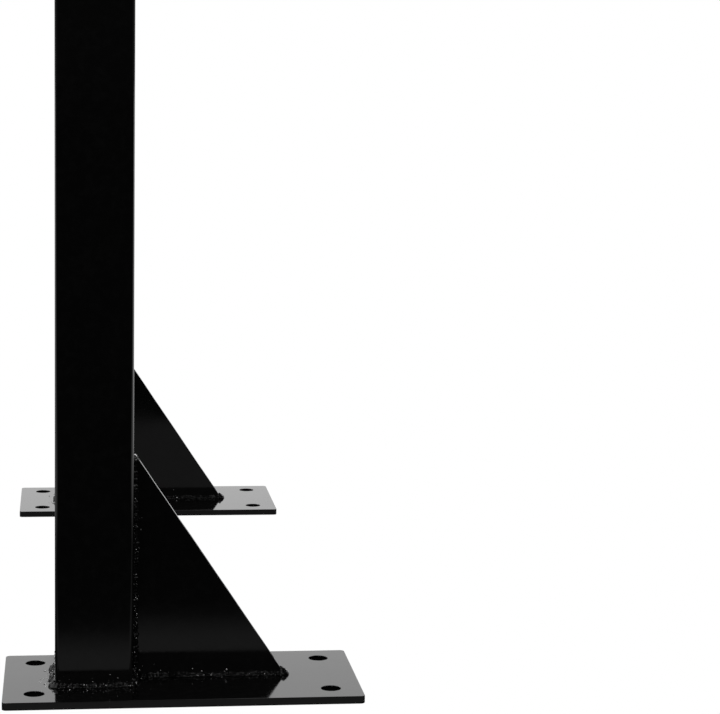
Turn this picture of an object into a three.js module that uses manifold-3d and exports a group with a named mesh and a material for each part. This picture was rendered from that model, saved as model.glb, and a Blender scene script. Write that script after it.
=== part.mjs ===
// A fixed pull up bar. Two square posts stand on bolted mounting plates, each stiffened by a
// triangular gusset, and carry a square crossbar with a foam covered handle at each end.
// Millimetres, +Z up. +Y runs along the crossbar, and the gussets point to +X. The origin is on
// the surface that the plates rest on, in the middle of the object.

import * as THREE from 'three';
import { mergeVertices } from 'three/addons/utils/BufferGeometryUtils.js';
import Module from 'manifold-3d';

const wasm = await Module();
wasm.setup();

// Fits. A weld bead lies this close to the steel, and loose pieces keep this much room.
const BEAD_GAP = 0.1;
const FIT_GAP = 0.3;
const OVERCUT = 1;

// Mounting plates
const PLATE_LENGTH = 230;
const PLATE_WIDTH = 115;
const PLATE_THICKNESS = 5;
const PLATE_CORNER = 3;
const BOLT_HOLE_RADIUS = 6.5;
const BOLT_HOLE_INSET = 20;

// Square tube of the posts and the crossbar
const TUBE_SIDE = 50;
const TUBE_WALL = 2;
const TUBE_CORNER = 3;
const HALF_TUBE = TUBE_SIDE / 2;

// Layout
const POST_X = -57;
const POST_SPACING = 610;
const OVERALL_HEIGHT = 600;
const CROSSBAR_HALF_LENGTH = 357;
const POST_TOP = OVERALL_HEIGHT - TUBE_SIDE;
const POST_LENGTH = POST_TOP - PLATE_THICKNESS;
const CROSSBAR_Z = OVERALL_HEIGHT - HALF_TUBE;

// Gussets
const GUSSET_BASE = 99.5;
const GUSSET_HEIGHT = 147.5;
const GUSSET_THICKNESS = 5;
const GUSSET_TOP_FLAT = 2;
const GUSSET_TOE = 2;

// Weld beads, by the length of their legs
const BASE_WELD_LEG = 4.5;
const GUSSET_WELD_LEG = 4.5;
const TIP_WELD_LEG = 3.5;
const CROSSBAR_WELD_LEG = 5;
const SEAM_WELD_RADIUS = 2;
const SEAM_OVERHANG = 2;
const WELD_CREST = 0.6;
const WELD_CROWN = 0.35;
const FOOT_CLEARANCE = BASE_WELD_LEG + 4 * FIT_GAP;

// End caps that slip over the crossbar
const CAP_SIDE = 56;
const CAP_DEPTH = 16;
const CAP_CORNER = 5;
const CAP_EDGE = 1.6;
const CAP_FRONT_WALL = 3.7;
const BOSS_ROOT_RADIUS = 19.5;
const BOSS_MOUTH_RADIUS = 17;
const BOSS_HEIGHT = 4.5;

// Handles
const HANDLE_RADIUS = 15;
const HANDLE_WALL = 2;
const HANDLE_START = 240;
const HANDLE_END = 555.5;
const SUPPORT_THICKNESS = 4;
const SUPPORT_PLACES = { outer: 334, inner: 250 };
const GRIP_RADIUS = 20;
const GRIP_START = 406.5;
const GRIP_END = 554.5;
const GRIP_ROUNDING = 4;
const PLUG_RIM = 2.4;
const PLUG_DOME = 1.3;
const PLUG_RIM_ROUNDING = 0.6;
const SPIGOT_LENGTH = 14;
const SPIGOT_RADIUS = 12;
const RIB_RADIUS = 12.7;
const RIB_COUNT = 2;
const RIB_PITCH = 5.5;
const RIB_THICKNESS = 1.4;
const RIB_LEAD_IN = 1;

// Smoothness of round stretches
const CORNER_SEGMENTS = 2;
const HOLE_SEGMENTS = 12;
const SUPPORT_SEGMENTS = 10;
const SEAM_SEGMENTS = 12;
const EDGE_SEGMENTS = 3;
const GRIP_EDGE_SEGMENTS = 4;
const ROUND_SEGMENTS = 32;

const paint = new THREE.MeshStandardMaterial({ color: 0x0b0b0c, roughness: 0.25, metalness: 0.2 });
const weldPaint = new THREE.MeshStandardMaterial({ color: 0x101011, roughness: 0.4, metalness: 0.2 });
const capPlastic = new THREE.MeshStandardMaterial({ color: 0x1b1b1c, roughness: 0.45, metalness: 0 });
const plugPlastic = new THREE.MeshStandardMaterial({ color: 0x1e1e1f, roughness: 0.4, metalness: 0 });
const foam = new THREE.MeshStandardMaterial({ color: 0x0d0d0d, roughness: 0.95, metalness: 0 });

// Exact quarter turns: what is made along Z then runs along X or along Y.
const axisX = new THREE.Vector3(1, 0, 0);
const axisY = new THREE.Vector3(0, 1, 0);
const axisZ = new THREE.Vector3(0, 0, 1);
const ALONG_X = new THREE.Matrix4().makeBasis(axisY, axisZ, axisX);
const ALONG_Y = new THREE.Matrix4().makeBasis(axisZ, axisX, axisY);

function closed(geometry) {
  geometry.deleteAttribute('normal');
  geometry.deleteAttribute('uv');
  return mergeVertices(geometry);
}

function toSolid(geometry) {
  const merged = closed(geometry);
  const vertProperties = new Float32Array(merged.attributes.position.array);
  const triVerts = new Uint32Array(merged.index.array);
  return new wasm.Manifold(new wasm.Mesh({ numProp: 3, vertProperties, triVerts }));
}

function toGeometry(solid) {
  const { vertProperties, triVerts } = solid.getMesh();
  const geometry = new THREE.BufferGeometry();
  geometry.setAttribute('position', new THREE.BufferAttribute(vertProperties, 3));
  geometry.setIndex(new THREE.BufferAttribute(triVerts, 1));
  return geometry;
}

function roundedRectangle(width, height, radius, Outline = THREE.Shape) {
  const x = width / 2 - radius;
  const y = height / 2 - radius;
  const outline = new Outline();
  outline.absarc(x, y, radius, 0, Math.PI / 2);
  outline.absarc(-x, y, radius, Math.PI / 2, Math.PI);
  outline.absarc(-x, -y, radius, Math.PI, 1.5 * Math.PI);
  outline.absarc(x, -y, radius, 1.5 * Math.PI, 2 * Math.PI);
  outline.closePath();
  return outline;
}

function extrude(shape, depth, curveSegments = CORNER_SEGMENTS) {
  return new THREE.ExtrudeGeometry(shape, { depth, bevelEnabled: false, curveSegments });
}

function block(side, corner, depth) {
  return extrude(roundedRectangle(side, side, corner), depth);
}

function squareTube(length) {
  const shape = roundedRectangle(TUBE_SIDE, TUBE_SIDE, TUBE_CORNER);
  const innerSide = TUBE_SIDE - 2 * TUBE_WALL;
  const innerCorner = TUBE_CORNER - TUBE_WALL;
  shape.holes.push(roundedRectangle(innerSide, innerSide, innerCorner, THREE.Path));
  return extrude(shape, length);
}

function lathe(points) {
  const profile = points.map(([radius, along]) => new THREE.Vector2(radius, along));
  const geometry = new THREE.LatheGeometry(profile, ROUND_SEGMENTS);
  return geometry.rotateX(Math.PI / 2);
}

// The points of a round profile edge, from one angle to another about its centre.
function arc(centreRadius, centreAlong, radius, from, to, steps) {
  const points = [];
  for (let step = 0; step <= steps; step += 1) {
    const angle = from + ((to - from) * step) / steps;
    points.push([centreRadius + radius * Math.cos(angle), centreAlong + radius * Math.sin(angle)]);
  }
  return points;
}

function mountingPlate() {
  const shape = roundedRectangle(PLATE_LENGTH, PLATE_WIDTH, PLATE_CORNER);
  const holeX = PLATE_LENGTH / 2 - BOLT_HOLE_INSET;
  const holeY = PLATE_WIDTH / 2 - BOLT_HOLE_INSET;
  for (const x of [-holeX, holeX]) {
    for (const y of [-holeY, holeY]) {
      const hole = new THREE.Path();
      hole.absarc(x, y, BOLT_HOLE_RADIUS, 0, 2 * Math.PI);
      shape.holes.push(hole);
    }
  }
  return extrude(shape, PLATE_THICKNESS, HOLE_SEGMENTS);
}

// The gusset's inner corner is clipped, so that the weld round the post's foot passes through.
function gusset() {
  const shape = new THREE.Shape();
  shape.moveTo(FOOT_CLEARANCE, 0);
  shape.lineTo(GUSSET_BASE, 0);
  shape.lineTo(GUSSET_BASE, GUSSET_TOE);
  shape.lineTo(GUSSET_TOP_FLAT, GUSSET_HEIGHT);
  shape.lineTo(0, GUSSET_HEIGHT);
  shape.lineTo(0, FOOT_CLEARANCE);
  shape.closePath();
  const geometry = extrude(shape, GUSSET_THICKNESS);
  geometry.translate(0, 0, -GUSSET_THICKNESS / 2);
  return geometry.rotateX(Math.PI / 2);
}

// A straight weld bead in the corner of two faces. Its section fills the quarter of the plane
// that the signs name, a little clear of both faces, and has a low crown.
function bead(leg, length, signU, signV) {
  const low = BEAD_GAP;
  const middle = leg / 2 + WELD_CROWN;
  const shape = new THREE.Shape();
  shape.moveTo(signU * low, signV * low);
  shape.lineTo(signU * leg, signV * low);
  shape.lineTo(signU * middle, signV * middle);
  shape.lineTo(signU * low, signV * leg);
  shape.closePath();
  return extrude(shape, length);
}

// The bead round the foot of the post: a ring whose outer face leans in towards the post. Its
// upper outer points are drawn in to the crest, straight towards the square's core.
function postBaseWeld() {
  const innerSide = TUBE_SIDE + 2 * BEAD_GAP;
  const outerSide = TUBE_SIDE + 2 * BASE_WELD_LEG;
  const shape = roundedRectangle(outerSide, outerSide, TUBE_CORNER + BASE_WELD_LEG);
  const innerCorner = TUBE_CORNER + BEAD_GAP;
  shape.holes.push(roundedRectangle(innerSide, innerSide, innerCorner, THREE.Path));
  const geometry = extrude(shape, BASE_WELD_LEG - BEAD_GAP);
  const position = geometry.attributes.position;
  const halfCore = HALF_TUBE - TUBE_CORNER;
  const crestReach = innerCorner + WELD_CREST;
  const point = new THREE.Vector2();
  for (let index = 0; index < position.count; index += 1) {
    point.set(position.getX(index), position.getY(index));
    const core = point.clone().clampScalar(-halfCore, halfCore);
    const outward = point.clone().sub(core);
    const isTop = position.getZ(index) > BEAD_GAP;
    if (isTop && outward.length() > crestReach) {
      point.copy(core).addScaledVector(outward.normalize(), crestReach);
      position.setXY(index, point.x, point.y);
    }
  }
  return geometry;
}

// The bead round the top of the post. It is a fillet under the crossbar on two sides, and fills
// the seam between the post and the crossbar's round edges on the other two.
function crossbarWeld() {
  const reach = TUBE_SIDE + 2 * CROSSBAR_WELD_LEG;
  const seamRadius = SEAM_WELD_RADIUS;
  const seamLength = TUBE_SIDE + 2 * SEAM_OVERHANG;
  let weld = null;
  for (const sign of [-1, 1]) {
    const fillet = bead(CROSSBAR_WELD_LEG, TUBE_SIDE, sign, -1);
    fillet.applyMatrix4(ALONG_X);
    fillet.translate(-HALF_TUBE, sign * HALF_TUBE, 0);
    const seam = new THREE.CylinderGeometry(seamRadius, seamRadius, seamLength, SEAM_SEGMENTS);
    seam.translate(sign * (HALF_TUBE - BEAD_GAP), 0, 0);
    weld = weld ? weld.add(toSolid(fillet)) : toSolid(fillet);
    weld = weld.add(toSolid(seam));
  }
  const grownSide = TUBE_SIDE + 2 * BEAD_GAP;
  const post = block(grownSide, TUBE_CORNER, reach);
  post.translate(0, 0, -reach);
  const crossbar = block(grownSide, TUBE_CORNER, 2 * reach);
  crossbar.applyMatrix4(ALONG_Y);
  crossbar.translate(0, -reach, HALF_TUBE);
  return toGeometry(weld.subtract(toSolid(post)).subtract(toSolid(crossbar)));
}

// The cap is made along Z, from its open back at 0 to its front face.
function endCap() {
  const cover = new THREE.ExtrudeGeometry(
    roundedRectangle(CAP_SIDE - 2 * CAP_EDGE, CAP_SIDE - 2 * CAP_EDGE, CAP_CORNER - CAP_EDGE),
    {
      depth: CAP_DEPTH,
      bevelThickness: CAP_EDGE,
      bevelSize: CAP_EDGE,
      bevelSegments: EDGE_SEGMENTS,
      curveSegments: CORNER_SEGMENTS,
    },
  );
  cover.translate(0, 0, -CAP_EDGE);
  const pocketSide = TUBE_SIDE + 2 * FIT_GAP;
  const pocketDepth = CAP_DEPTH - CAP_FRONT_WALL;
  const pocket = block(pocketSide, TUBE_CORNER, pocketDepth + OVERCUT);
  pocket.translate(0, 0, -OVERCUT);
  const backTrim = block(CAP_SIDE + 2 * OVERCUT, CAP_CORNER, 2 * CAP_EDGE);
  backTrim.translate(0, 0, -2 * CAP_EDGE);
  const bossBase = CAP_DEPTH - OVERCUT;
  const bossTop = CAP_DEPTH + BOSS_HEIGHT;
  const bore = HANDLE_RADIUS + FIT_GAP;
  const boss = lathe([
    [bore, bossBase],
    [BOSS_ROOT_RADIUS, bossBase],
    [BOSS_ROOT_RADIUS, CAP_DEPTH],
    [BOSS_MOUTH_RADIUS, bossTop],
    [bore, bossTop],
    [bore, bossBase],
  ]);
  const drillLength = 2 * (bossTop + OVERCUT);
  const drill = new THREE.CylinderGeometry(bore, bore, drillLength, ROUND_SEGMENTS);
  drill.rotateX(Math.PI / 2);
  const shell = toSolid(cover).subtract(toSolid(backTrim)).subtract(toSolid(pocket));
  return toGeometry(shell.add(toSolid(boss)).subtract(toSolid(drill)));
}

function handleTube() {
  const inner = HANDLE_RADIUS - HANDLE_WALL;
  return lathe([
    [inner, HANDLE_START],
    [HANDLE_RADIUS, HANDLE_START],
    [HANDLE_RADIUS, HANDLE_END],
    [inner, HANDLE_END],
    [inner, HANDLE_START],
  ]);
}

// A plate with a round hole that holds the handle tube in the middle of the crossbar.
function innerSupport() {
  const side = TUBE_SIDE - 2 * TUBE_WALL - 2 * FIT_GAP;
  const shape = roundedRectangle(side, side, TUBE_WALL);
  const hole = new THREE.Path();
  hole.absarc(0, 0, HANDLE_RADIUS + FIT_GAP, 0, 2 * Math.PI);
  shape.holes.push(hole);
  return extrude(shape, SUPPORT_THICKNESS, SUPPORT_SEGMENTS);
}

function foamGrip() {
  const inner = HANDLE_RADIUS + FIT_GAP;
  const edge = GRIP_RADIUS - GRIP_ROUNDING;
  const quarter = Math.PI / 2;
  return lathe([
    [inner, GRIP_START],
    ...arc(edge, GRIP_START + GRIP_ROUNDING, GRIP_ROUNDING, -quarter, 0, GRIP_EDGE_SEGMENTS),
    ...arc(edge, GRIP_END - GRIP_ROUNDING, GRIP_ROUNDING, 0, quarter, GRIP_EDGE_SEGMENTS),
    [inner, GRIP_END],
    [inner, GRIP_START],
  ]);
}

// The plug's ribbed spigot is inside the tube, and its domed head covers the tube's end.
function endPlug() {
  const headBase = HANDLE_END + FIT_GAP;
  const spigotEnd = headBase - SPIGOT_LENGTH;
  const points = [[0, spigotEnd]];
  for (let rib = 0; rib < RIB_COUNT; rib += 1) {
    const start = spigotEnd + RIB_LEAD_IN + rib * RIB_PITCH;
    points.push([SPIGOT_RADIUS, start - RIB_LEAD_IN]);
    points.push([RIB_RADIUS, start]);
    points.push([RIB_RADIUS, start + RIB_THICKNESS]);
    points.push([SPIGOT_RADIUS, start + RIB_THICKNESS]);
  }
  points.push([SPIGOT_RADIUS, headBase]);
  points.push([HANDLE_RADIUS, headBase]);
  const rimTop = headBase + PLUG_RIM;
  const edge = PLUG_RIM_ROUNDING;
  const shoulder = HANDLE_RADIUS - edge;
  points.push(...arc(shoulder, rimTop - edge, edge, 0, Math.PI / 2, EDGE_SEGMENTS));
  for (let step = 1; step <= EDGE_SEGMENTS; step += 1) {
    const part = step / EDGE_SEGMENTS;
    points.push([shoulder * (1 - part), rimTop + PLUG_DOME * Math.sin((part * Math.PI) / 2)]);
  }
  return lathe(points);
}

function addPiece(parent, name, geometry, material, x = 0, y = 0, z = 0) {
  const mesh = new THREE.Mesh(closed(geometry), material);
  mesh.name = name;
  mesh.position.set(x, y, z);
  parent.add(mesh);
}

// One support: plate, post, gusset and their welds, with the plate's centre at the group's origin.
function addSupport(parent, side) {
  const floor = PLATE_THICKNESS;
  const face = POST_X + HALF_TUBE;
  const half = GUSSET_THICKNESS / 2;
  const start = FOOT_CLEARANCE;
  addPiece(parent, `mounting_plate_${side}`, mountingPlate(), paint);
  addPiece(parent, `post_${side}`, squareTube(POST_LENGTH), paint, POST_X, 0, floor);
  addPiece(parent, `gusset_${side}`, gusset(), paint, face, 0, floor);
  const footWeld = postBaseWeld();
  addPiece(parent, `post_base_weld_${side}`, footWeld, weldPaint, POST_X, 0, floor + BEAD_GAP);
  for (const [name, sign] of [['front', -1], ['back', 1]]) {
    const upright = bead(GUSSET_WELD_LEG, GUSSET_HEIGHT - start, 1, sign);
    const uprightName = `gusset_post_weld_${name}_${side}`;
    addPiece(parent, uprightName, upright, weldPaint, face, sign * half, floor + start);
    const flat = bead(GUSSET_WELD_LEG, GUSSET_BASE - start, sign, 1).applyMatrix4(ALONG_X);
    const flatName = `gusset_plate_weld_${name}_${side}`;
    addPiece(parent, flatName, flat, weldPaint, face + start, sign * half, floor);
  }
  const tipWidth = GUSSET_THICKNESS + 2 * GUSSET_WELD_LEG;
  const tip = bead(TIP_WELD_LEG, tipWidth, 1, 1).applyMatrix4(ALONG_Y);
  const tipX = face + GUSSET_BASE;
  addPiece(parent, `gusset_tip_weld_${side}`, tip, weldPaint, tipX, -tipWidth / 2, floor);
  addPiece(parent, `crossbar_weld_${side}`, crossbarWeld(), weldPaint, POST_X, 0, POST_TOP);
}

// One handle, made along Z and laid along Y, on the crossbar's axis.
function addHandle(parent, side) {
  const capBack = CROSSBAR_HALF_LENGTH + FIT_GAP + CAP_FRONT_WALL - CAP_DEPTH;
  addPiece(parent, `end_cap_${side}`, endCap().applyMatrix4(ALONG_Y), capPlastic, 0, capBack, 0);
  addPiece(parent, `handle_tube_${side}`, handleTube().applyMatrix4(ALONG_Y), paint);
  for (const [place, along] of Object.entries(SUPPORT_PLACES)) {
    const support = innerSupport().applyMatrix4(ALONG_Y);
    addPiece(parent, `inner_support_${place}_${side}`, support, paint, 0, along, 0);
  }
  addPiece(parent, `foam_grip_${side}`, foamGrip().applyMatrix4(ALONG_Y), foam);
  addPiece(parent, `end_plug_${side}`, endPlug().applyMatrix4(ALONG_Y), plugPlastic);
}

const group = new THREE.Group();

const crossbar = squareTube(2 * CROSSBAR_HALF_LENGTH).applyMatrix4(ALONG_Y);
addPiece(group, 'crossbar', crossbar, paint, POST_X, -CROSSBAR_HALF_LENGTH, CROSSBAR_Z);

for (const [side, sign] of [['left', -1], ['right', 1]]) {
  const support = new THREE.Group();
  support.position.y = (sign * POST_SPACING) / 2;
  addSupport(support, side);
  const handle = new THREE.Group();
  handle.position.set(POST_X, 0, CROSSBAR_Z);
  handle.rotation.z = sign > 0 ? 0 : Math.PI;
  addHandle(handle, side);
  group.add(support, handle);
}

export default group;
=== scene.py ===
"""The looks of a fixed pull up bar: painted steel frame, weld beads, plastic caps and foam grips."""

import math
import random

import bmesh
import bpy
from mathutils import Matrix, Vector, noise


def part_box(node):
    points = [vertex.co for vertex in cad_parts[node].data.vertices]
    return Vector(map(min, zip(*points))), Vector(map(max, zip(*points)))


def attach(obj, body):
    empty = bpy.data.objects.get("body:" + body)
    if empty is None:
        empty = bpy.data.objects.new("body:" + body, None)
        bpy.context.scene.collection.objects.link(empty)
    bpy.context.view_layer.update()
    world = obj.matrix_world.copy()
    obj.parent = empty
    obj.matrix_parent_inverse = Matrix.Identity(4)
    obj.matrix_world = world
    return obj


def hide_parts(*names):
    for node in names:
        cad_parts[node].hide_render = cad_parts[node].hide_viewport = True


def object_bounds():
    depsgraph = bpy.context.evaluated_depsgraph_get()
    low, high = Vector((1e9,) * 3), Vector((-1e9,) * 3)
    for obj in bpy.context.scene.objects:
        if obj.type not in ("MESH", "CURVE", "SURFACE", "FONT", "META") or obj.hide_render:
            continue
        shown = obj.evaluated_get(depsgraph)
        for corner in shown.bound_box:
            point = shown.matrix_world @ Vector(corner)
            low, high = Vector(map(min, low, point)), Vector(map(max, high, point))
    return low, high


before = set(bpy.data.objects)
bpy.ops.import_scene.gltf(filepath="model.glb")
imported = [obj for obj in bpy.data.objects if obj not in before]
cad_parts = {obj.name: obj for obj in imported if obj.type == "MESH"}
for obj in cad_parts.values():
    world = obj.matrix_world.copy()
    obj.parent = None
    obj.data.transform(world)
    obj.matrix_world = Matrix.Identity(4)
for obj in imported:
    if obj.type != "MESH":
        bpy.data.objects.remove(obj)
cad_low, cad_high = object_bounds()
scene = bpy.context.scene

MM = 0.001
SIDES = {"left": -1, "right": 1}
X_AXIS = Vector((1, 0, 0))
Y_AXIS = Vector((0, 1, 0))
UP = Vector((0, 0, 1))

# Fine shape that the frame doesn't state, in metres
TUBE_CORNER = 3 * MM
TUBE_WALL = 2 * MM
PLATE_CORNER = 3 * MM
PLATE_EDGE_ROUNDING = 0.35 * MM
GUSSET_EDGE_ROUNDING = 0.4 * MM
BOLT_HOLE_RADIUS = 6.5 * MM
BOLT_HOLE_INSET = 20 * MM
HANDLE_RADIUS = 15 * MM
HANDLE_WALL = 2 * MM
FOAM_RADIUS = 20 * MM

# Weld beads, in metres. A leg is how far a bead reaches along the steel from the corner it fills.
FOOT_BEAD_LEG = {"left": 3.3 * MM, "right": 2.7 * MM}
UPRIGHT_BEAD_LEG = 3.8 * MM
FLAT_BEAD_LEG = 3.2 * MM
TIP_BEAD_LEG = 3.9 * MM
CROSSBAR_FILLET_LEG = 4.6 * MM
CROSSBAR_SEAM_LEG = 2.6 * MM
WELD_SINK = 0.5 * MM
STATION_SPACING = 0.5 * MM

# Spatter: how far from a corner it starts, how much of it each support has, and how much is bare
SPATTER_START = 2.5 * MM
SPATTER_SHARE = {"left": 1.0, "right": 0.25}
BARE_DROP_SHARE = 0.45


# Materials ---------------------------------------------------------------------------------
# Noise scales are in ripples per metre, bump distances are in metres, and greys are linear.

class Nodes:
    """A material's node tree, with short ways to add and join nodes."""

    def __init__(self, name):
        self.material = bpy.data.materials.new(name)
        self.material.use_nodes = True
        self.tree = self.material.node_tree
        self.shader = self.tree.nodes["Principled BSDF"]

    def add(self, kind, **inputs):
        node = self.tree.nodes.new(kind)
        for key, value in inputs.items():
            node.inputs[key.replace("_", " ")].default_value = value
        return node

    def join(self, output, socket):
        self.tree.links.new(output, socket)

    def place(self):
        return self.add("ShaderNodeTexCoord").outputs["Object"]

    def noise(self, scale, detail=2.0, roughness=0.5):
        node = self.add("ShaderNodeTexNoise", Scale=scale, Detail=detail, Roughness=roughness)
        self.join(self.place(), node.inputs["Vector"])
        return node.outputs["Fac"]

    def ramp(self, factor, low, high, out_low=0, out_high=1):
        node = self.add("ShaderNodeMapRange")
        values = (low, high, out_low, out_high)
        for socket, value in zip(("From Min", "From Max", "To Min", "To Max"), values):
            node.inputs[socket].default_value = value
        self.join(factor, node.inputs["Value"])
        return node.outputs["Result"]

    def greys(self, factor, dark, light):
        node = self.tree.nodes.new("ShaderNodeMix")
        node.data_type = "RGBA"
        node.inputs["A"].default_value = (dark, dark, dark, 1)
        node.inputs["B"].default_value = (light, light, light, 1)
        self.join(factor, node.inputs["Factor"])
        self.join(node.outputs["Result"], self.shader.inputs["Base Color"])

    def bump(self, height, distance, strength=1.0, under=None):
        node = self.add("ShaderNodeBump", Strength=strength, Distance=distance)
        self.join(height, node.inputs["Height"])
        if under is not None:
            self.join(under, node.inputs["Normal"])
        return node.outputs["Normal"]

    def finish(self, normal, roughness):
        self.join(normal, self.shader.inputs["Normal"])
        self.join(roughness, self.shader.inputs["Roughness"])
        return self.material


def gloss_paint():
    """Gloss black powder coat, with faint orange peel and a little dust."""
    nodes = Nodes("gloss_black_paint")
    nodes.shader.inputs["IOR"].default_value = 1.5
    dust = nodes.noise(180, 4, 0.6)
    nodes.greys(nodes.ramp(dust, 0.45, 0.75), 0.0014, 0.0036)
    peel = nodes.bump(nodes.noise(420, 2), 0.00002, 0.35)
    waves = nodes.bump(nodes.noise(45, 1), 0.0001, 0.12, peel)
    return nodes.finish(waves, nodes.ramp(nodes.noise(25, 3), 0.3, 0.7, 0.05, 0.10))


def weld_paint():
    """The same paint over rough weld metal: duller, with small lumps and pores."""
    nodes = Nodes("black_paint_over_weld")
    nodes.shader.inputs["IOR"].default_value = 1.2
    grime = nodes.noise(700, 3)
    nodes.greys(nodes.ramp(grime, 0.4, 0.7), 0.0010, 0.0034)
    pores = nodes.bump(nodes.noise(1500, 2), 0.0001, 0.4)
    lumps = nodes.bump(nodes.noise(420, 3), 0.0003, 0.5, pores)
    return nodes.finish(lumps, nodes.ramp(nodes.noise(300, 2), 0.3, 0.7, 0.05, 0.14))


def bright_metal():
    """Spatter that the paint didn't cover: bare steel, with darker, rougher patches."""
    nodes = Nodes("bare_spatter_metal")
    nodes.shader.inputs["Metallic"].default_value = 1.0
    patches = nodes.noise(900, 3)
    nodes.greys(nodes.ramp(patches, 0.35, 0.65), 0.25, 0.70)
    dents = nodes.bump(nodes.noise(1800, 2), 0.0001, 0.5)
    return nodes.finish(dents, nodes.ramp(patches, 0.35, 0.65, 0.35, 0.18))


def moulded_plastic(name, dark, light, roughness):
    """Satin moulded plastic with a fine spark-eroded grain."""
    nodes = Nodes(name)
    nodes.shader.inputs["IOR"].default_value = 1.5
    nodes.greys(nodes.ramp(nodes.noise(90, 4), 0.35, 0.7), dark, light)
    grain = nodes.bump(nodes.noise(2600, 2), 0.00003, 0.5)
    flow = nodes.bump(nodes.noise(60, 1), 0.0001, 0.15, grain)
    rough = nodes.ramp(nodes.noise(140, 3), 0.3, 0.7, roughness - 0.04, roughness + 0.05)
    return nodes.finish(flow, rough)


def foam_rubber():
    """Foam rubber: matt black, with fine pores and fine grey specks."""
    nodes = Nodes("black_foam")
    nodes.shader.inputs["IOR"].default_value = 1.4
    nodes.shader.inputs["Specular IOR Level"].default_value = 0.06
    cells = nodes.add("ShaderNodeTexVoronoi", Scale=1500.0)
    nodes.join(nodes.place(), cells.inputs["Vector"])
    speckle = nodes.noise(1300, 4, 0.75)
    nodes.greys(nodes.ramp(speckle, 0.46, 0.68), 0.0018, 0.036)
    pores = nodes.bump(cells.outputs["Distance"], 0.0004, 0.8)
    skin = nodes.bump(nodes.noise(900, 3), 0.0003, 0.5, pores)
    return nodes.finish(skin, nodes.ramp(speckle, 0.3, 0.7, 0.8, 0.95))


PAINT = gloss_paint()
WELD = weld_paint()
BARE_METAL = bright_metal()
CAP = moulded_plastic("satin_cap_plastic", 0.040, 0.054, 0.24)
PLUG = moulded_plastic("satin_plug_plastic", 0.13, 0.17, 0.26)
FOAM = foam_rubber()


# Mesh making -------------------------------------------------------------------------------

def finish_piece(name, mesh, material, slot, *nodes):
    """Puts a mesh in the scene in place of CAD nodes, smooth but with its flats kept flat."""
    large_face_weight = 90
    piece = bpy.data.objects.new(name, mesh)
    scene.collection.objects.link(piece)
    mesh.materials.append(material)
    mesh.shade_smooth()
    weighted = piece.modifiers.new("flat_faces_stay_flat", "WEIGHTED_NORMAL")
    weighted.weight = large_face_weight
    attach(piece, "root")
    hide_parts(*nodes)
    return piece


def add_rings(work, rings, loop=False):
    """Quads between neighbouring rings of points. Unless it is a loop, both ends are closed."""
    rows = [[work.verts.new(point) for point in ring] for ring in rings]
    pairs = list(zip(rows, rows[1:]))
    if loop:
        pairs.append((rows[-1], rows[0]))
    for row, following in pairs:
        count = len(row)
        for index in range(count):
            after = (index + 1) % count
            work.faces.new((row[index], row[after], following[after], following[index]))
    if not loop:
        work.faces.new(rows[0])
        work.faces.new(rows[-1])


def to_mesh(name, work):
    bmesh.ops.recalc_face_normals(work, faces=work.faces)
    mesh = bpy.data.meshes.new(name)
    work.to_mesh(mesh)
    work.free()
    return mesh


def rounded_square(side, radius, corner_steps=8, side_steps=1):
    """Outline of a square with round corners, as (u, v, outward angle) points."""
    points = []
    middle = side / 2 - radius
    for quarter in range(4):
        turn = Matrix.Rotation(quarter * math.pi / 2, 2)
        for step in range(corner_steps + 1):
            angle = step / corner_steps * math.pi / 2
            arc = Vector((middle + radius * math.cos(angle), middle + radius * math.sin(angle)))
            points.append((*(turn @ arc), angle + quarter * math.pi / 2))
        for step in range(1, side_steps):
            along = middle - 2 * middle * step / side_steps
            points.append((*(turn @ Vector((along, side / 2))), (quarter + 1) * math.pi / 2))
    return points


def curve_plate(name, outlines, thickness, rounding):
    """A flat plate of closed outlines, the first outside and the rest holes, edges rounded."""
    same_place = 1e-7
    curve = bpy.data.curves.new(name, "CURVE")
    curve.dimensions = "2D"
    curve.fill_mode = "BOTH"
    curve.extrude = thickness / 2 - rounding
    curve.bevel_depth = rounding
    curve.bevel_resolution = 3
    curve.offset = -rounding
    for outline in outlines:
        spline = curve.splines.new("POLY")
        spline.points.add(len(outline) - 1)
        for point, (u, v) in zip(spline.points, outline):
            point.co = (u, v, 0, 1)
        spline.use_cyclic_u = True
    maker = bpy.data.objects.new(name, curve)
    mesh = bpy.data.meshes.new_from_object(maker)
    bpy.data.objects.remove(maker)
    work = bmesh.new()
    work.from_mesh(mesh)
    bmesh.ops.remove_doubles(work, verts=work.verts, dist=same_place)
    bpy.data.meshes.remove(mesh)
    return to_mesh(name, work)


def rounded_rectangle(length, width, radius, steps=8):
    """Outline of a rectangle with round corners, as (u, v) points."""
    points = []
    for quarter, (sign_u, sign_v) in enumerate(((1, 1), (-1, 1), (-1, -1), (1, -1))):
        for step in range(steps + 1):
            angle = (quarter + step / steps) * math.pi / 2
            u = sign_u * (length / 2 - radius) + radius * math.cos(angle)
            v = sign_v * (width / 2 - radius) + radius * math.sin(angle)
            points.append((u, v))
    return points


def ragged_hole(centre, radius, seed, steps=56):
    """A drilled hole whose rim is a little uneven under the paint."""
    unevenness = 0.22 * MM
    ripple_scale = 2.2
    points = []
    for step in range(steps):
        angle = -2 * math.pi * step / steps
        across = math.cos(angle)
        up = math.sin(angle)
        ripple = noise.noise(Vector((across * ripple_scale, up * ripple_scale, seed)))
        reach = radius + unevenness * ripple
        points.append((centre[0] + reach * across, centre[1] + reach * up))
    return points


# Steel frame -------------------------------------------------------------------------------

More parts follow.
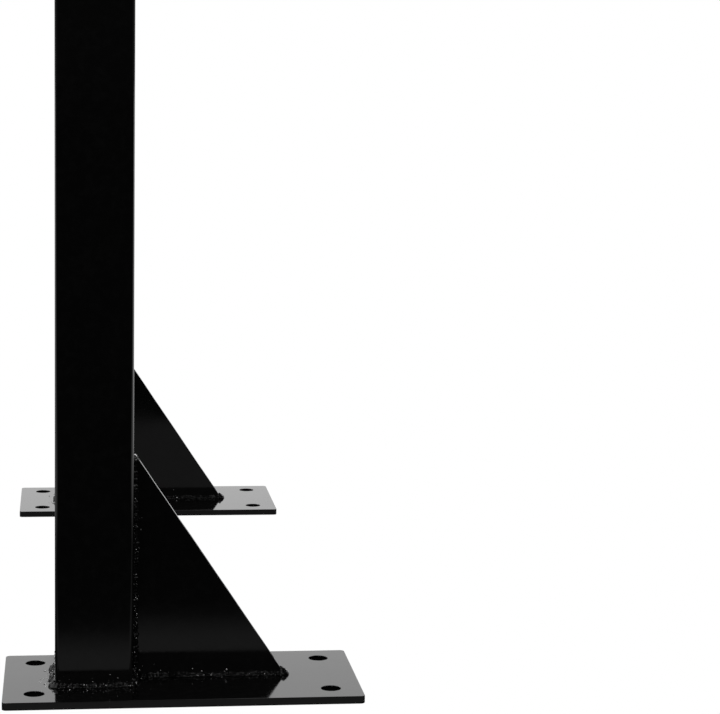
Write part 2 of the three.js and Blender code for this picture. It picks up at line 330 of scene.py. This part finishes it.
def mounting_plate(side):
    """A flat plate with round corners and four drilled holes."""
    node = f"mounting_plate_{side}"
    low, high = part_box(node)
    size = high - low
    inset = Vector((size.x, size.y)) / 2 - Vector((BOLT_HOLE_INSET, BOLT_HOLE_INSET))
    outlines = [rounded_rectangle(size.x, size.y, PLATE_CORNER)]
    for index, (sign_x, sign_y) in enumerate(((-1, -1), (-1, 1), (1, -1), (1, 1))):
        seed = index + 10 * SIDES[side]
        centre = (sign_x * inset.x, sign_y * inset.y)
        outlines.append(ragged_hole(centre, BOLT_HOLE_RADIUS, seed))
    mesh = curve_plate(f"plate_{side}", outlines, size.z, PLATE_EDGE_ROUNDING)
    mesh.transform(Matrix.Translation((low + high) / 2))
    finish_piece(f"plate_{side}", mesh, PAINT, "black_paint", node)


def square_tube(name, node, axis):
    """A square tube with round corners, open at both ends, along one axis of the frame."""
    low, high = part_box(node)
    size = high - low
    middle = (low + high) / 2
    half = size[axis] / 2
    side = size.x
    soft = 0.25 * MM
    outer = rounded_square(side, TUBE_CORNER)
    end = rounded_square(side - 2 * soft, TUBE_CORNER - soft)
    inner = rounded_square(side - 2 * TUBE_WALL, TUBE_CORNER - TUBE_WALL)
    turn = Matrix.Rotation(-math.pi / 2, 3, "X") if axis == 1 else Matrix.Identity(3)
    rings = []
    for outline, along in (
        (inner, -half),
        (end, -half),
        (outer, -half + soft),
        (outer, half - soft),
        (end, half),
        (inner, half),
    ):
        rings.append([middle + turn @ Vector((u, v, along)) for u, v, _ in outline])
    work = bmesh.new()
    add_rings(work, rings, loop=True)
    finish_piece(name, to_mesh(name, work), PAINT, "black_paint", node)


def gusset_plate(side):
    """A triangular plate whose cut edges wander a little."""
    node = f"gusset_{side}"
    low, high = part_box(node)
    size = high - low
    toe = 2 * MM
    flat = 2 * MM
    clip = 3 * MM
    steps = 24
    wander_depth = 0.25 * MM
    wander_inset = 0.1 * MM
    wander_scale = 60
    corners = [(clip, 0), (size.x, 0), (size.x, toe), (flat, size.z), (0, size.z), (0, clip)]
    outline = []
    for (u0, v0), (u1, v1) in zip(corners, corners[1:] + corners[:1]):
        along = Vector((u1 - u0, v1 - v0))
        across = Vector((along.y, -along.x)).normalized()
        count = steps if along.length > size.x / 2 else 1
        for step in range(count):
            point = Vector((u0, v0)) + along * step / count
            if step > 0 and point.x > flat:
                place = Vector((point.x * wander_scale, point.y * wander_scale, SIDES[side] * 3))
                point += across * (wander_depth * noise.noise(place) - wander_inset)
            outline.append(tuple(point))
    mesh = curve_plate(f"gusset_plate_{side}", [outline], size.y, GUSSET_EDGE_ROUNDING)
    upright = Matrix.Rotation(math.pi / 2, 4, "X")
    mesh.transform(Matrix.Translation((low.x, (low.y + high.y) / 2, low.z)) @ upright)
    finish_piece(f"gusset_plate_{side}", mesh, PAINT, "black_paint", node)


# Weld beads --------------------------------------------------------------------------------

def wobble(place, seed, scale):
    """Smooth noise at a place, a different field for each seed."""
    return noise.noise(place * scale + Vector((seed * 7.3, seed * 3.1, seed * 5.7)))


def bead_rings(stations, leg, seed, sweep=math.pi / 2, taper=True):
    """Rings of a hand-laid bead. A station is (root, first, second): the bead's section swings
    from the first direction to the second about the root, and sinks a little into the steel."""
    ripple_depth = 0.06
    ripple_pitch = 2.1 * MM
    taper_stations = 3
    smallest_end = 0.25
    flattening = 0.20
    section_steps = 11
    rings = []
    travelled = 0.0
    last = len(stations) - 1
    for index, (root, first, second) in enumerate(stations):
        if index:
            travelled += (root - stations[index - 1][0]).length
        ripple = 1 + ripple_depth * math.sin(2 * math.pi * travelled / ripple_pitch)
        swell = 1 + 0.30 * wobble(root, seed, 130) + 0.28 * wobble(root, seed + 1, 420)
        end = min(index, last - index) / taper_stations
        close = math.sqrt(max(0.0, 1 - (1 - end) ** 2)) if taper and end < 1 else 1.0
        reach = leg * ripple * swell * max(close, smallest_end)
        ring = [root - (first + second) * WELD_SINK]
        ring.append(root + first * reach - second * WELD_SINK)
        for step in range(section_steps):
            angle = sweep * step / (section_steps - 1)
            direction = first * math.cos(angle) + second * math.sin(angle)
            bulge = 1 - flattening + flattening * abs(math.cos(2 * angle))
            lump = 1 + 0.16 * wobble(root + direction * reach, seed + 2, 900)
            ring.append(root + direction * (reach * bulge * lump))
        ring.append(root + second * reach - first * WELD_SINK)
        rings.append(ring)
    return rings


def straight(start, end, first, second):
    """Stations of a straight bead."""
    count = max(8, round((end - start).length / STATION_SPACING))
    return [(start.lerp(end, step / count), first, second) for step in range(count + 1)]


def add_spatter(work, rng, corner, along, across, width, height, count):
    """Drops of weld metal on a patch of a face. The patch is a rectangle that starts at its
    corner, and the drops are thickest near its two ends and along its first edge."""
    normal = along.cross(across)
    turn = normal.to_track_quat("Z", "Y").to_matrix().to_4x4()
    squash = Matrix.Diagonal((1, 1, 0.7, 1))
    for _ in range(count):
        size = rng.uniform(0.2, 0.65) * MM
        shift = along * width * rng.betavariate(0.7, 0.7) + across * height * rng.random() ** 2
        place = Matrix.Translation(corner + shift) @ turn @ squash
        drop = bmesh.ops.create_icosphere(work, subdivisions=2, radius=size, matrix=place)
        is_bare = rng.random() < BARE_DROP_SHARE
        for face in {face for vert in drop["verts"] for face in vert.link_faces}:
            face.material_index = 2 if is_bare else 1


def bead_patch(start, along, out, up, leg, width, drops):
    """A patch of spatter on the sloping face of a bead that runs along a corner."""
    face_height = 0.85 * leg
    face_start = 0.3 * leg
    face_width = 0.6 * leg
    across = (up - out).normalized()
    corner = start + (out + up).normalized() * face_height - across * face_start
    return corner, along, across, width, face_width, drops


def make_weld(name, node, runs, rng, patches, share=1.0):
    """One weld. A run is (rings, is a loop), and a patch of spatter is (corner, along, across,
    width, height, drops)."""
    work = bmesh.new()
    for rings, loop in runs:
        add_rings(work, rings, loop)
    for *patch, drops in patches:
        add_spatter(work, rng, *patch, round(drops * share))
    weld = finish_piece(name, to_mesh(name, work), WELD, "weld_paint", node)
    weld.data.materials.append(PAINT)
    weld.data.materials.append(BARE_METAL)


def plate_top(side):
    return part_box(f"mounting_plate_{side}")[1].z


def foot_weld(side, seed, rng):
    """The bead round the post's foot, with spatter on the post, the plate and the bead."""
    floor = plate_top(side)
    low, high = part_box(f"post_{side}")
    middle = Vector(((low.x + high.x) / 2, (low.y + high.y) / 2, floor))
    width = high.x - low.x
    flat_side = width - 2 * TUBE_CORNER
    leg = FOOT_BEAD_LEG[side]
    stations = []
    for u, v, angle in rounded_square(width, TUBE_CORNER, side_steps=round(width / STATION_SPACING)):
        out = Vector((math.cos(angle), math.sin(angle), 0))
        stations.append((middle + Vector((u, v, 0)), out, UP))
    ring = bead_rings(stations, leg, seed, taper=False)
    front = Vector((low.x + TUBE_CORNER, low.y, floor))
    left = Vector((low.x, low.y + TUBE_CORNER, floor))
    back = Vector((high.x - TUBE_CORNER, high.y, floor))
    right = Vector((high.x, low.y, floor))
    near_right = right - X_AXIS * 8 * MM
    rise = UP * SPATTER_START
    patches = [
        (front + rise, X_AXIS, UP, flat_side, 6 * MM, 24),
        (back + rise, -X_AXIS, UP, flat_side, 9 * MM, 20),
        (left + rise, Y_AXIS, UP, flat_side, 18 * MM, 30),
        (left - X_AXIS * SPATTER_START, Y_AXIS, -X_AXIS, flat_side, 7 * MM, 44),
        (front - Y_AXIS * SPATTER_START, X_AXIS, -Y_AXIS, flat_side, 5 * MM, 14),
        bead_patch(front, X_AXIS, -Y_AXIS, UP, leg, flat_side, 22),
        bead_patch(left, Y_AXIS, -X_AXIS, UP, leg, flat_side, 22),
        bead_patch(near_right, X_AXIS, -Y_AXIS, UP, leg, 8 * MM, 22),
        bead_patch(right, Y_AXIS, X_AXIS, UP, leg, flat_side / 2, 22),
        (right + rise, Y_AXIS, UP, flat_side / 3, 9 * MM, 16),
    ]
    share = SPATTER_SHARE[side]
    make_weld(f"foot_bead_{side}", f"post_base_weld_{side}", [(ring, True)], rng, patches, share)


def gusset_corner(side, sign):
    """Where the gusset, the post and the mounting plate meet, on one face of the gusset."""
    low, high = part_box(f"gusset_{side}")
    face_y = low.y if sign < 0 else high.y
    return Vector((low.x, face_y, plate_top(side)))


def upright_weld(side, name, sign, seed, rng):
    """The bead between one face of the gusset and the post."""
    out = Y_AXIS * sign
    root = gusset_corner(side, sign)
    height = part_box(f"gusset_{side}")[1].z - plate_top(side)
    start = root + UP * FOOT_BEAD_LEG[side]
    top = root + UP * (height - 0.5 * MM)
    rings = bead_rings(straight(start, top, out, X_AXIS), UPRIGHT_BEAD_LEG, seed + sign)
    patches = [
        (start + X_AXIS * 2 * MM, UP, X_AXIS, height * 0.7, 4 * MM, 26),
        bead_patch(start, UP, out, X_AXIS, UPRIGHT_BEAD_LEG, height * 0.8, 80),
    ]
    make_weld(f"upright_bead_{name}_{side}", f"gusset_post_weld_{name}_{side}",
              [(rings, False)], rng, patches, SPATTER_SHARE[side])


def flat_weld(side, name, sign, seed, rng):
    """The bead between one face of the gusset and the mounting plate."""
    out = Y_AXIS * sign
    root = gusset_corner(side, sign)
    low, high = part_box(f"gusset_{side}")
    length = high.x - low.x
    start = root + X_AXIS * FOOT_BEAD_LEG[side]
    end = root + X_AXIS * (length - 1 * MM)
    rings = bead_rings(straight(start, end, out, UP), FLAT_BEAD_LEG, seed + 3 + sign)
    patches = [
        (start + UP * SPATTER_START, X_AXIS, UP, length * 0.6, 6 * MM, 18),
        (start + out * SPATTER_START, X_AXIS, out, length * 0.6, 5 * MM, 10),
        bead_patch(start, X_AXIS, out, UP, FLAT_BEAD_LEG, length * 0.9, 30),
    ]
    make_weld(f"flat_bead_{name}_{side}", f"gusset_plate_weld_{name}_{side}",
              [(rings, False)], rng, patches, SPATTER_SHARE[side])


def tip_weld(side, seed):
    """The lump of weld that wraps round the gusset's toe."""
    floor = plate_top(side)
    low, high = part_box(f"gusset_{side}")
    thickness = high.y - low.y
    radius = thickness / 2
    centre = Vector((high.x - radius, (low.y + high.y) / 2, floor))
    wrap = 1.15 * math.pi
    steps = 28
    stations = []
    for step in range(steps + 1):
        angle = wrap * (step / steps - 0.5)
        out = Vector((math.cos(angle), math.sin(angle), 0))
        stations.append((centre + out * radius, out, UP))
    rings = bead_rings(stations, TIP_BEAD_LEG, seed + 9)
    rng = random.Random(seed + 60)
    toe = Vector((high.x, low.y, floor))
    patches = [bead_patch(toe, Y_AXIS, X_AXIS, UP, TIP_BEAD_LEG, thickness, 12)]
    make_weld(f"tip_bead_{side}", f"gusset_tip_weld_{side}",
              [(rings, False)], rng, patches, SPATTER_SHARE[side])


def crossbar_weld(side, seed):
    """Fillets under the crossbar on two sides of the post, and flush seams on the others."""
    low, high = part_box(f"post_{side}")
    middle = Vector(((low.x + high.x) / 2, (low.y + high.y) / 2, high.z))
    half = (high.x - low.x) / 2
    fillet_reach = X_AXIS * (half - 1 * MM)
    seam_reach = Y_AXIS * (half + 2 * MM)
    seam_inset = 1.6 * MM
    runs = []
    for sign in (-1, 1):
        face = middle + Y_AXIS * (half * sign)
        fillet = straight(face - fillet_reach, face + fillet_reach, Y_AXIS * sign, -UP)
        runs.append((bead_rings(fillet, CROSSBAR_FILLET_LEG, seed + 12 + sign), False))
        edge = middle + X_AXIS * ((half - seam_inset) * sign)
        seam = straight(edge - seam_reach, edge + seam_reach, UP, X_AXIS * sign)
        seam_rings = bead_rings(seam, CROSSBAR_SEAM_LEG, seed + 15 + sign, sweep=math.pi)
        runs.append((seam_rings, False))
    rng = random.Random(seed + 40)
    flat_side = 2 * (half - TUBE_CORNER)
    outer_face = middle + Y_AXIS * (half * SIDES[side])
    corner = outer_face - UP * 3.5 * MM - X_AXIS * (flat_side / 2)
    patches = [(corner, X_AXIS, -UP, flat_side, 8 * MM, 18)]
    make_weld(f"top_bead_{side}", f"crossbar_weld_{side}", runs, rng, patches)


def support_welds(side):
    """All the welds of one support. The first five take their drops from one random run."""
    seed = 20 + SIDES[side]
    rng = random.Random(seed)
    foot_weld(side, seed, rng)
    for name, sign in (("front", -1), ("back", 1)):
        upright_weld(side, name, sign, seed, rng)
        flat_weld(side, name, sign, seed, rng)
    tip_weld(side, seed)
    crossbar_weld(side, seed)


# Ends of the crossbar ----------------------------------------------------------------------

def axis_frame(side):
    """The handle's axis: its origin in the crossbar's middle, and a turn from Z to outward."""
    low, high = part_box("crossbar")
    origin = (low + high) / 2
    turn = Matrix.Rotation(-math.pi / 2 * SIDES[side], 3, "X")
    return origin, turn


def span(side, node):
    """Where a node of the handle starts and ends, measured outward along the crossbar."""
    low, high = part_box(f"{node}_{side}")
    return sorted((abs(low.y), abs(high.y)))


def turned(side, profile, steps=96):
    """Rings of a round piece from a profile of (radius, distance along the crossbar)."""
    origin, turn = axis_frame(side)
    rings = []
    for radius, along in profile:
        ring = []
        for step in range(steps):
            angle = 2 * math.pi * step / steps
            point = Vector((radius * math.cos(angle), radius * math.sin(angle), along))
            ring.append(origin + turn @ point)
        rings.append(ring)
    return rings


def arc(centre_radius, centre_along, radius, start, end, steps=6):
    """Profile points on an arc, by angles in degrees from outward across the axis."""
    points = []
    for step in range(steps + 1):
        angle = math.radians(start + (end - start) * step / steps)
        points.append((centre_radius + radius * math.cos(angle),
                       centre_along + radius * math.sin(angle)))
    return points


def end_cap(side):
    """A square slip-over cap with a round boss that the handle tube passes through."""
    node = f"end_cap_{side}"
    back, tip = span(side, "end_cap")
    low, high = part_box(node)
    width = high.x - low.x
    corner = 5 * MM
    side_wall = 2.7 * MM
    front_wall = 3.7 * MM
    lip = 0.4 * MM
    edge = 1.5 * MM
    edge_steps = 6
    boss_height = 4.5 * MM
    boss = 18.2 * MM
    boss_draft = 0.5 * MM
    boss_rounding = 1.1 * MM
    boss_fillet = 1.6 * MM
    fillet_steps = 5
    bore = 15.3 * MM
    bore_rounding = 0.5 * MM
    pocket = width - 2 * side_wall
    pocket_corner = 3 * MM
    side_steps = 18
    front = tip - boss_height
    pocket_end = front - front_wall
    origin, turn = axis_frame(side)

    def square(side_length, radius, along):
        outline = rounded_square(side_length, radius, side_steps=side_steps)
        return [origin + turn @ Vector((u, v, along)) for u, v, _ in outline]

    def circle(radius, along):
        """A circle with as many points as a square, each at the same angle as the square's."""
        ring = []
        for u, v, _ in rounded_square(width, corner, side_steps=side_steps):
            angle = math.atan2(v, u)
            point = Vector((radius * math.cos(angle), radius * math.sin(angle), along))
            ring.append(origin + turn @ point)
        return ring

    rings = [
        square(pocket, pocket_corner, back),
        square(width - 2 * lip, corner - lip, back),
        square(width, corner, back + lip),
    ]
    for step in range(edge_steps + 1):
        angle = math.pi / 2 * step / edge_steps
        inward = edge * (1 - math.cos(angle))
        along = front - edge + edge * math.sin(angle)
        rings.append(square(width - 2 * inward, corner - inward, along))
    for step in range(fillet_steps + 1):
        angle = math.pi / 2 * step / fillet_steps
        reach = boss + boss_fillet * (1 - math.sin(angle))
        rings.append(circle(reach, front + boss_fillet * (1 - math.cos(angle))))
    boss_edge = arc(boss - boss_draft - boss_rounding, tip - boss_rounding, boss_rounding, 0, 90)
    bore_edge = arc(bore + bore_rounding, tip - bore_rounding, bore_rounding, 90, 180, 4)
    for reach, along in boss_edge + bore_edge:
        rings.append(circle(reach, along))
    rings.append(circle(bore, pocket_end))
    rings.append(square(pocket, pocket_corner, pocket_end))
    work = bmesh.new()
    add_rings(work, rings, loop=True)
    finish_piece(f"cap_{side}", to_mesh(f"cap_{side}", work), CAP, "cap_plastic", node)


def handle_tube(side):
    """A round tube with its outer end's edge broken."""
    start, end = span(side, "handle_tube")
    broken_edge = 0.3 * MM
    inner = HANDLE_RADIUS - HANDLE_WALL
    profile = [
        (inner, start),
        (HANDLE_RADIUS, start),
        (HANDLE_RADIUS, end - broken_edge),
        (HANDLE_RADIUS - broken_edge, end),
        (inner, end),
    ]
    work = bmesh.new()
    add_rings(work, turned(side, profile), loop=True)
    name = f"tube_{side}"
    finish_piece(name, to_mesh(name, work), PAINT, "black_paint", f"handle_tube_{side}")


def foam_grip(side):
    """A foam sleeve with soft round ends and a skin that is nowhere quite even."""
    start, end = span(side, "foam_grip")
    bore = HANDLE_RADIUS + 0.05 * MM
    soft = 3.6 * MM
    bore_inset = 1.2 * MM
    ring_spacing = 0.8 * MM
    steps_round = 220
    skin_inset = 0.2 * MM
    length = end - start - 2 * soft
    count = round(length / ring_spacing)
    profile = [(bore, start + bore_inset)]
    profile += arc(FOAM_RADIUS - soft, start + soft, soft, -90, 0, 10)
    for step in range(1, count):
        profile.append((FOAM_RADIUS, start + soft + length * step / count))
    profile += arc(FOAM_RADIUS - soft, end - soft, soft, 0, 90, 10)
    profile.append((bore, end - bore_inset))
    rings = turned(side, profile, steps_round)
    origin, _ = axis_frame(side)
    for ring in rings[1:-1]:
        for index, point in enumerate(ring):
            out = Vector((point.x - origin.x, 0, point.z - origin.z)).normalized()
            skin = 0.10 * MM * noise.noise(point * 900) + 0.07 * MM * noise.noise(point * 1900)
            sag = 0.35 * MM * noise.noise(point * 28 + Vector((SIDES[side] * 4, 0, 0)))
            ring[index] = point + out * (skin + sag - skin_inset)
    work = bmesh.new()
    add_rings(work, rings, loop=True)
    name = f"foam_{side}"
    piece = finish_piece(name, to_mesh(name, work), FOAM, "foam", f"foam_grip_{side}")


def end_plug(side):
    """A domed plug: a round-edged head over the tube's end, and a spigot inside the tube."""
    start, end = span(side, "end_plug")
    spigot = 12.6 * MM
    lead_in = 1 * MM
    edge = 0.9 * MM
    dome = 1.3 * MM
    dome_steps = 8
    dome_flat_share = 0.03
    head = end - 3.7 * MM
    shoulder = end - dome - edge
    profile = [(spigot - lead_in, start), (spigot, start + lead_in), (spigot, head)]
    profile.append((HANDLE_RADIUS, head))
    profile += arc(HANDLE_RADIUS - edge, shoulder, edge, 0, 80, 5)
    for step in range(1, dome_steps + 1):
        part = step / dome_steps
        reach = (HANDLE_RADIUS - edge) * (1 - (1 - dome_flat_share) * part)
        profile.append((reach, shoulder + edge + dome * math.sin(part * math.pi / 2)))
    work = bmesh.new()
    add_rings(work, turned(side, profile))
    name = f"plug_{side}"
    finish_piece(name, to_mesh(name, work), PLUG, "plug_plastic", f"end_plug_{side}")


def paint_inner_supports(side):
    """The plates inside the crossbar keep their CAD meshes and get the frame's paint."""
    for place in ("outer", "inner"):
        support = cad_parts[f"inner_support_{place}_{side}"]
        support.data.materials.clear()
        support.data.materials.append(PAINT)


# Stage -------------------------------------------------------------------------------------

CAMERA_PLACE = Vector((-0.0770, -1.7571, 0.4060))
CAMERA_YAW = math.radians(7.547)
CAMERA_PITCH = math.radians(7.385)
CAMERA_ROLL = math.radians(0.957)
CAMERA_LENS_MM = 113.19
CAMERA_SENSOR_MM = 36

# How bright reflections find the floor, as (Y, level) from the front to the middle. It grows
# brighter towards the near plate, whose front edge is at -0.3625, and has a thin dark line, a
# painted shadow of the plate, and a thin bright one just before that edge. It is dark under the
# plate, as painted shade, and brighter past it.
FRONT_FLOOR_LEVELS = (
    (-0.60, 0.02),
    (-0.54, 0.025),
    (-0.50, 0.045),
    (-0.455, 0.14),
    (-0.43, 0.185),
    (-0.391, 0.195),
    # painted shadow of the near plate's front edge
    (-0.389, 0.01),
    (-0.381, 0.01),
    (-0.379, 0.20),
    (-0.366, 0.20),
    # painted shade under the near plate
    (-0.36, 0.02),
    (-0.25, 0.02),
    (-0.15, 0.16),
)


def link(tree, output, socket):
    tree.links.new(output, socket)


def add_range(tree, value, low, high):
    """A Map Range node from low and high to 0 and 1."""
    node = tree.nodes.new("ShaderNodeMapRange")
    node.inputs["From Min"].default_value = low
    node.inputs["From Max"].default_value = high
    link(tree, value, node.inputs["Value"])
    return node


def smooth_range(tree, value, low, high, out_low, out_high):
    """A level that turns smoothly from one number to another between two values."""
    node = add_range(tree, value, low, high)
    node.interpolation_type = "SMOOTHSTEP"
    node.inputs["To Min"].default_value = out_low
    node.inputs["To Max"].default_value = out_high
    return node.outputs["Result"]


def stepped_levels(tree, value, stops):
    """A level that runs straight from one stop to the next. A stop is (value, level)."""
    start = stops[0][0]
    end = stops[-1][0]
    node = tree.nodes.new("ShaderNodeValToRGB")
    link(tree, add_range(tree, value, start, end).outputs["Result"], node.inputs["Fac"])
    elements = node.color_ramp.elements
    for place, _ in stops[1:-1]:
        elements.new((place - start) / (end - start))
    for element, (_, level) in zip(elements, stops):
        element.color = (level, level, level, 1)
    return node.outputs["Color"]


def combine(tree, operation, first, *others):
    """A chain of two-input math nodes."""
    for other in others:
        node = tree.nodes.new("ShaderNodeMath")
        node.operation = operation
        link(tree, first, node.inputs[0])
        link(tree, other, node.inputs[1])
        first = node.outputs["Value"]
    return first


def coordinates(tree, output):
    """The X, Y and Z of one output of a Texture Coordinate node."""
    place = tree.nodes.new("ShaderNodeTexCoord")
    parts = tree.nodes.new("ShaderNodeSeparateXYZ")
    link(tree, place.outputs[output], parts.inputs["Vector"])
    return parts.outputs["X"], parts.outputs["Y"], parts.outputs["Z"]


def make_floor():
    """A plain, seamless floor that is seen as white. In reflections it follows
    FRONT_FLOOR_LEVELS, with their painted shadow of the near plate and painted shade under it, and
    it is brighter behind the object and to its sides."""
    bpy.ops.mesh.primitive_plane_add(size=60, location=(0, 0, cad_low.z))
    floor = bpy.context.object
    floor.name = "studio_floor"
    material = bpy.data.materials.new("studio_floor")
    material.use_nodes = True
    tree = material.node_tree
    tree.nodes.remove(tree.nodes["Principled BSDF"])
    x, y, _ = coordinates(tree, "Object")
    # the front levels hold a painted shadow of the near plate and painted shade under it
    front = stepped_levels(tree, y, FRONT_FLOOR_LEVELS)
    behind = smooth_range(tree, y, 0.36, 0.60, 0.0, 0.6)
    right = smooth_range(tree, x, 0.4, 0.8, 0.0, 0.7)
    left = smooth_range(tree, x, -0.8, -0.4, 0.5, 0.0)
    past_front = smooth_range(tree, y, -1.1, -0.5, 0.0, 1.0)
    sides = combine(tree, "MULTIPLY", combine(tree, "ADD", left, right), past_front)
    level = combine(tree, "ADD", front, behind, sides)
    reflected = tree.nodes.new("ShaderNodeEmission")
    link(tree, level, reflected.inputs["Strength"])
    white = tree.nodes.new("ShaderNodeEmission")
    path = tree.nodes.new("ShaderNodeLightPath")
    mix = tree.nodes.new("ShaderNodeMixShader")
    link(tree, path.outputs["Is Camera Ray"], mix.inputs["Fac"])
    link(tree, reflected.outputs["Emission"], mix.inputs[1])
    link(tree, white.outputs["Emission"], mix.inputs[2])
    link(tree, mix.outputs["Shader"], tree.nodes["Material Output"].inputs["Surface"])
    floor.data.materials.append(material)


def make_world():
    """A surround that is seen as white. In reflections it is white behind the object, brightest
    low down, and dim elsewhere, and darkest low down on the side of the main view."""
    world = bpy.data.worlds.new("studio")
    scene.world = world
    world.use_nodes = True
    tree = world.node_tree
    background = tree.nodes["Background"]
    _, y, z = coordinates(tree, "Generated")
    overhead = smooth_range(tree, z, 0.03, 0.30, 0.03, 0.12)
    sides = smooth_range(tree, y, -0.8, -0.4, 0.03, 0.12)
    behind = smooth_range(tree, y, 0.35, 0.65, 0.0, 1.0)
    low_down = smooth_range(tree, z, 0.20, 0.27, 1.15, 1.0)
    backdrop = combine(tree, "MULTIPLY", behind, low_down)
    reflected = combine(tree, "MAXIMUM", overhead, sides, backdrop)
    path = tree.nodes.new("ShaderNodeLightPath")
    strength = tree.nodes.new("ShaderNodeMix")
    link(tree, path.outputs["Is Camera Ray"], strength.inputs["Factor"])
    link(tree, reflected, strength.inputs["A"])
    strength.inputs["B"].default_value = 1.0
    link(tree, strength.outputs["Result"], background.inputs["Strength"])
    background.inputs["Color"].default_value = (1, 1, 1, 1)


def softbox(name, place, aim, along, across, brightness):
    """A rectangular light, whose first side lies level. Its brightness is a multiple of the
    white surround's."""
    light = bpy.data.lights.new(name, "AREA")
    light.shape = "RECTANGLE"
    light.size = along
    light.size_y = across
    light.energy = brightness * math.pi * along * across
    lamp = bpy.data.objects.new(name, light)
    scene.collection.objects.link(lamp)
    lamp.location = place
    lamp.rotation_euler = (Vector(aim) - Vector(place)).to_track_quat("-Z", "Y").to_euler()
    lamp.visible_camera = False


def make_lights():
    softbox("overhead", (0.2, 0, 2.4), (0, 0, 0.4), along=1.8, across=0.5, brightness=0.6)
    softbox("side_strip", (1.5, 0, 1.3), (0, 0, 0.5), along=2.4, across=0.3, brightness=5)
    softbox("side_softbox", (-1.6, 0, 1.5), (0, 0, 0.5), along=2.2, across=1.3, brightness=2.3)
    for side, sign in SIDES.items():
        place = (-0.5, 1.8 * sign, 1.6)
        aim = (0, 0.4 * sign, 0.5)
        softbox(f"end_{side}", place, aim, along=0.6, across=0.6, brightness=9)


def make_camera():
    forward = Vector((
        math.sin(CAMERA_YAW) * math.cos(CAMERA_PITCH),
        math.cos(CAMERA_YAW) * math.cos(CAMERA_PITCH),
        -math.sin(CAMERA_PITCH),
    ))
    data = bpy.data.cameras.new("camera")
    data.sensor_width = CAMERA_SENSOR_MM
    data.lens = CAMERA_LENS_MM
    camera = bpy.data.objects.new("camera", data)
    scene.collection.objects.link(camera)
    level = forward.to_track_quat("-Z", "Y").to_matrix()
    turn = level @ Matrix.Rotation(CAMERA_ROLL, 3, "Z")
    camera.matrix_world = Matrix.Translation(CAMERA_PLACE) @ turn.to_4x4()
    scene.camera = camera


make_camera()
make_floor()
make_world()
make_lights()
scene.view_settings.view_transform = "Standard"

square_tube("crossbar_tube", "crossbar", 1)
for side in SIDES:
    mounting_plate(side)
    square_tube(f"upright_{side}", f"post_{side}", 2)
    gusset_plate(side)
    support_welds(side)
    end_cap(side)
    handle_tube(side)
    foam_grip(side)
    end_plug(side)
    paint_inner_supports(side)
